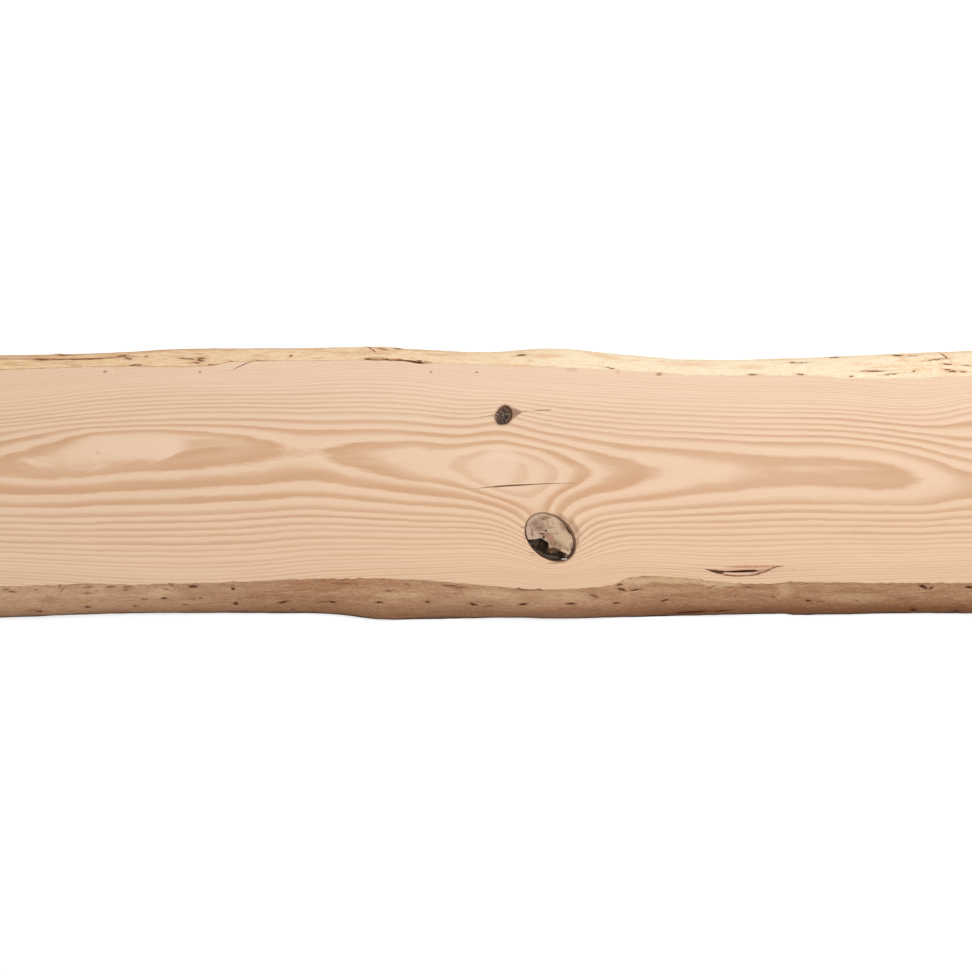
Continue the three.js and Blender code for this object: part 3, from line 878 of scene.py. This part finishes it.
# %% The far wane
FAR_CRACKS = [
    (-446, 124.4, 6, 1), (-430, 124.6, 8, 0.8), (-415, 124.8, 5, 0.8), (-402, 125, 10, 0.6, 2),
    (-426, 129.6, 7, 0.7), (-366.6, 128.6, 5.6, 0.9, 6), (-360, 125.6, 4, 0.8, -12),
    (-351.4, 118.2, 7, 0.7, 1), (-342, 127.6, 1.6, 0.9), (-304, 125.2, 4, 0.7, -8), (-297, 124.8, 5, 0.7, -4),
    (-287, 125.4, 4.4, 1.3, 4), (-286, 123, 3.4, 1, 2), (-290, 120.6, 4, 0.7, -8), (-271.6, 118.6, 9.6, 0.5),
    (-251.4, 121, 6, 0.5, -14), (-244, 116.4, 11, 0.6, 28), (-223, 122.4, 9, 0.5, -4), (-224, 120.4, 6, 0.4),
    (-196, 128, 1.6, 0.7), (-114.4, 125, 7, 0.9), (-101, 124.4, 5, 0.7, -10), (-74.6, 121.8, 13, 0.9, -5),
    (-58, 120.6, 5, 0.8, -14), (-89.4, 136.2, 4, 0.8, -10), (-104, 135.4, 6, 0.7, -10),
    (-115, 134.8, 5, 0.6, -38), (36, 129, 5, 1, 4), (124.6, 115.2, 5.4, 0.6, -14), (173.4, 109.4, 3.2, 1.1),
    (267, 108.8, 4.6, 0.9), (315, 108.8, 3.8, 1, -8), (309, 121.8, 3, 0.8), (318, 121.6, 9, 0.4),
    (353, 127.6, 5, 0.8), (416.6, 129.2, 5.4, 0.9, -4), (388, 112.6, 12, 0.8), (406, 109.4, 7, 0.7, 6),
    (429, 112.4, 2.6, 0.8, 24), (455, 124.8, 12, 0.6, 6), (464, 119.8, 5, 0.8, -6), (468, 112.2, 5, 1.1),
    (478, 111.8, 3.4, 0.9), (463, 114, 3.4, 0.8, 6), (463, 128.4, 5, 0.7, -44), (431, 128.8, 6, 0.4),
    (482, 118.6, 5, 0.6, -4), (366, 107, 2, 0.8),
]
FAR_STREAKS = [
    (-476, 119.6, 6, 0.9), (-468, 121.6, 5, 0.7, 4), (-416, 119, 10, 1.2, -4), (-455, 128, 26, 1.2),
    (-382, 127.4, 12, 1.6), (-365, 124, 8, 1), (-340, 134, 24, 1.4, 4), (-300, 120.4, 8, 0.8),
    (-262, 134.4, 8, 0.8), (-290, 130.2, 5, 1), (-172, 134.4, 12, 1, -2), (-145, 131.4, 12, 1.4, 4),
    (-142, 130, 6, 0.9, 2), (-124, 131, 30, 2), (-28, 130, 8, 1, -4), (-48, 129.2, 14, 1.4, -4),
    (34, 132.2, 5, 1), (72, 127.6, 7, 1.8), (60, 128, 16, 2.4, 2), (44, 123.4, 5, 0.7),
    (150, 123.6, 7, 1.2, -4), (120, 128, 20, 2, -12), (221, 122.6, 6, 0.8), (205, 120, 26, 2.4, -3),
    (174, 119.8, 4, 0.7), (36, 117.8, 8, 0.6), (264, 117, 14, 2), (-90, 119.4, 4, 0.6), (424, 124, 5, 1.2),
    (432, 118.4, 6, 1), (457, 115.4, 5, 1, -4), (400, 117, 14, 1.4, 4), (378, 120, 10, 1.8),
    (300, 126, 16, 1.4, 4), (440, 114.4, 10, 1.2, 4),
]
# A long brown seam where the bark film ends, at the left.
FAR_SEAM = (
    [(-490, 125.4), (-465, 125.2), (-440, 125), (-415, 125), (-390, 125.4), (-365, 127.2), (-340, 128)],
    [
        (-490, 0.7), (-458, 0.6), (-450, 1.2), (-438, 1.1), (-433, 0.5), (-419, 0.6), (-410, 1.2), (-389, 1),
        (-380, 0.6), (-362, 0.4), (-340, 0.05),
    ],
)
# How pale the sapwood is along the plank.
PALENESS = [
    (-500, 0), (-380, 0.1), (-260, 0.2), (-140, 0.3), (-20, 0.45), (100, 0.85), (220, 1), (340, 0.95),
    (460, 0.8),
]
CREAM, FAR_SEAM_X = paint(255, 238, 206), -400


def sapwood_with_foot_shade(part, x, z, point, stir, pale):
    """The scraped wood between the cracks, orange at the left and cream at the right, with painted shade
    towards the floor.
    """
    tone = mix((pale + grain(point, (46, 5, 7), 3, 16) * 0.2).clamp(), paint(252, 212, 164), CREAM)
    resin = grain(point, (24, 1.6, 2.4), 3, 25).fade(0, 0.9) * 0.6
    tone = mix(resin, tone, mix(pale, paint(226, 168, 120), paint(246, 202, 152)))
    tone = mix(grain(point, (16, 1.2, 1.8), 3, 29).fade(0.1, 0.9) * 0.5, tone, CREAM)
    streak = marks(point, stir, FAR_STREAKS, 1.2, part).fade(1.8, 0.2) * 0.5
    tone = mix(streak, tone, mix(pale, paint(198, 138, 96), paint(240, 186, 138)))
    # Painted shade: darker towards the floor, most at the left.
    return mix(z.fade(13, 2) * (1 - pale * 0.8), tone, paint(206, 160, 120))


def far_wane(part):
    """The sapwood with its scrapes, blotches and cracks. Their colours differ at its two ends."""
    x, y, z, point = place(new_material(plank, "far wane"))
    stir = stirring(point)
    pale = x.graph(PALENESS)
    tone = sapwood_with_foot_shade(part, x, z, point, stir, pale)
    fibre = grain(point, (9, 0.8, 1.1), 3, 2, 0.6)
    scrape = grain(point, (20, 0.9, 1.3), 3, 71)
    bright = 1 - pale * 0.85
    scraped = scrape.fade(0, 0.7) * bright * 0.75
    tone = mix(scraped, tone, mix(pale, paint(200, 138, 90), paint(238, 190, 138)))
    tone = mix(scrape.fade(0, -0.7) * bright * 0.6, tone, paint(255, 236, 200))
    tone = shade(tone, 1 + fibre * (0.07 + bright * 0.09) + grain(point, (2.4, 0.7, 0.9), 2, 3) * 0.06)
    blotch = grain(point, (8, 2.4, 3.4), 3, 83)
    tone = mix(blotch.fade(0.05, 0.6) * 0.5, tone, mix(pale, paint(224, 168, 112), paint(250, 208, 158)))
    tone = mix(blotch.fade(-0.05, -0.6) * 0.45, tone, paint(255, 240, 210))
    net = grain(point, (2.6, 0.55, 0.8), 3, 87, 0.7).fade(0.12, 0.5) * (x.fade(370, 430) * 0.4 + 0.32)
    tone = mix(net, tone, mix(pale, paint(168, 108, 66), paint(190, 136, 94)))
    strand = grain(point, (7, 0.55, 0.8), 2, 51).fade(-0.6, 0.3)
    crack = marks(point, stir, FAR_CRACKS, 0.9, part)
    tone = shade(tone, pale * 0.02 + 1.01)
    edge = crack.fade(3, 0.6) * (0.1 + strand * 0.5)
    tone = mix(edge, tone, mix(pale, paint(180, 112, 66), paint(222, 170, 124)))
    inside = crack.fade(1.2, 0.7) * (0.4 + strand * 0.6)
    tone = mix(inside, tone, mix(pale, paint(96, 44, 16), paint(116, 66, 38)))
    if part[0] < FAR_SEAM_X < part[1]:
        tone = mix(seam(x, y, *FAR_SEAM) * (0.4 + strand * 0.5), tone, paint(140, 80, 42))
    tone = mix(z.fade(38, 39.4) * (0.3 + strand * 0.6) * bright, tone, paint(188, 132, 86))
    finish_wood(tone, 0.72 + fibre * 0.04, fibre * 0.3, 0.6)


# %% One material for each length of each side
for side in (planed_softwood, near_wane, far_wane):
    for part in PARTS:
        side(part)

# %% The sawn ends
x, y, z, point = place(new_material(plank, "sawn ends"))
late = late_wood(ring_number(point.tree), y.fade(32, 20))
wood = mix(late, paint(226, 186, 146), paint(176, 126, 86))
wood = shade(wood, 1 + grain(point, (1.2, 1.2, 1.2), 3, 3) * 0.06)
fuzz = grain(point, (0.8, 0.8, 0.8), 2, 2) * 0.1
finish_wood(wood, 0.8 + late * 0.05, late * 0.2 + fuzz, 0.5)

# %% Bark and rot, with a painted glint
ROT = [
    (47.8, -59.4, 5, 1.8, 22), (57.8, -54.6, 1.8, 2.2), (56, -70.4, 5.6, 0.9, -33), (66.5, -74, 6.6, 1.3, -4),
    (49.5, -66.5, 0.8, 2.6, 30), (61, -72.6, 2.4, 0.7, -20),
]
# The last list is a painted glint in the hollow.
TAN_ROT, PAINTED_GLINT = [(67.4, -66.6, 5.6, 3.2, -8)], [(78.3, -75.8, 3, 0.8, 2)]

x, y, z, point = place(new_material(plank, "dead bark"))
stir = stirring(point)
away, along, across = knot_place(x, y, z, *BIG_KNOT)
lump = grain(point, (1.6, 1.6, 1.6), 3, 2) * 0.6 + knot_spokes(along, across, away) - 0.3
tone = mix(lump.fade(-0.4, 1), paint(44, 31, 23), paint(124, 94, 70))
rim = (across - along * 0.6).fade(-0.6, 0.8)  # the bark ring is thinner and paler at the top left
tone = mix(away.fade(0.92, 0.95), tone, mix(rim, paint(96, 66, 48), paint(186, 148, 120)))
tone = mix(marks(point, stir, TAN_ROT, 0.5).fade(1.4, 0.6) * lump.fade(-0.8, 0.1), tone, paint(186, 142, 98))
rot = marks(point, stir, ROT, 0.3).fade(1.4, 0.5) * (0.35 + lump.fade(-0.4, 0.6) * 0.4)
tone = mix(rot, tone, paint(150, 132, 114))
# A painted glint in the knot's hollow.
tone = mix(marks(point, stir, PAINTED_GLINT, 0.1).fade(1.3, 0.6), tone, paint(240, 234, 228))
finish_wood(tone, 0.8, lump, 0.8)

# %% The insides of splits
x, y, z, point = place(new_material(plank, "split wood"))
splinter = grain(point, (8, 1, 1), 3, 4)
tone = mix(splinter.fade(-0.6, 0.8), paint(104, 58, 34), paint(176, 120, 82))
tone = mix(x.fade(-80, -102) * y.fade(90, 100) * 0.8, tone, paint(232, 186, 136))  # the far crack closes here
finish_wood(tone, 0.8 + splinter * 0.05, splinter * 0.3, 0.5)

# %% Give each face its material
NEAR_SLOT, FAR_SLOT, END_SLOT = (count * len(PARTS) for count in (1, 2, 3))
BARK_SLOT, SPLIT_SLOT = END_SLOT + 1, END_SLOT + 2
# The knots' cuts lie this near to an X, and the check's cut this near to the middle line.
KNOTS_MIDDLE, KNOTS_REACH, CHECK_REACH = 45 * MM, 60 * MM, 12 * MM


def slot_of(face):
    """The number of the material that a face gets."""
    centre, normal = face.center, face.normal
    length = sum(centre.x > edge * MM for edge in SECTION_EDGES)
    lowest_corner = min(plank.data.vertices[i].co.z for i in face.vertices)
    if is_end(centre, normal):
        return END_SLOT
    if lowest_corner > THICKNESS - CLOSE or is_lower(centre, normal):
        return length
    if is_wane(centre, normal):
        return (NEAR_SLOT if centre.y < 0 else FAR_SLOT) + length
    if abs(centre.x - KNOTS_MIDDLE) < KNOTS_REACH and abs(centre.y) > CHECK_REACH:
        return BARK_SLOT
    return SPLIT_SLOT


for face in plank.data.polygons:
    face.material_index = slot_of(face)
bpy.ops.object.shade_smooth_by_angle(angle=math.radians(35))
for face in plank.data.polygons:  # the sawn faces stay flat right up to their rims
    face.use_smooth = NEAR_SLOT <= face.material_index != END_SLOT

# %% [markdown]
# ## Floor, light and camera
# The plank is seen from straight above on white. The light comes softly from the far side. The
# floor glows a little where the camera sees it, so that it looks white.

# %% Floor
bpy.ops.mesh.primitive_grid_add(x_subdivisions=8, y_subdivisions=8, size=60, location=(0, 0, 0))
floor = bpy.context.object
floor.name = "pale_floor"
tree = new_material(floor, "white floor")
rays = tree.nodes.new("ShaderNodeLightPath").outputs
seen = Flow(tree, rays["Is Camera Ray"]) + Flow(tree, rays["Is Glossy Ray"])
seen = (seen + Flow(tree, rays["Is Transmission Ray"])).clamp()
cloth = node(tree, "BsdfDiffuse", {"Color": mix(seen, (0.8, 0.8, 0.8, 1), (0.9, 0.9, 0.9, 1))})
glow = node(tree, "Emission", {"Strength": seen * 0.3})
finish_material(node(tree, "AddShader", {0: cloth, 1: glow}))

# %% Light
world = bpy.data.worlds.new("studio")
bpy.context.scene.world = world
world.use_nodes = True
sky = world.node_tree.nodes["Background"]
sky.inputs["Color"].default_value = (1, 1, 1, 1)
sky.inputs["Strength"].default_value = 0.6
lamp = bpy.data.lights.new("window", "AREA")
lamp.shape, lamp.size, lamp.energy = "DISK", 1.2, 25
window = bpy.data.objects.new("window", lamp)
bpy.context.collection.objects.link(window)
window.location = (0.95, 0.75, 2)
window.rotation_euler = window.location.to_track_quat("Z", "Y").to_euler()

# %% Camera
CAMERA_HEIGHT = 2.7  # above the upper face: the lens then shows 0.972 m of it
PICTURE_MIDDLE = -2.75 * MM  # the Y in the middle of the picture
camera_data = bpy.data.cameras.new("camera")
camera_data.lens = 100
camera_data.sensor_width = 36
camera_data.clip_end = 100
camera = bpy.data.objects.new("camera", camera_data)
camera.location = (0, PICTURE_MIDDLE, THICKNESS + CAMERA_HEIGHT)
bpy.context.collection.objects.link(camera)
bpy.context.scene.camera = camera
bpy.context.scene.view_settings.view_transform = "Standard"

# %% Hand the piece over
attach(plank, "root")
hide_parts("plank")
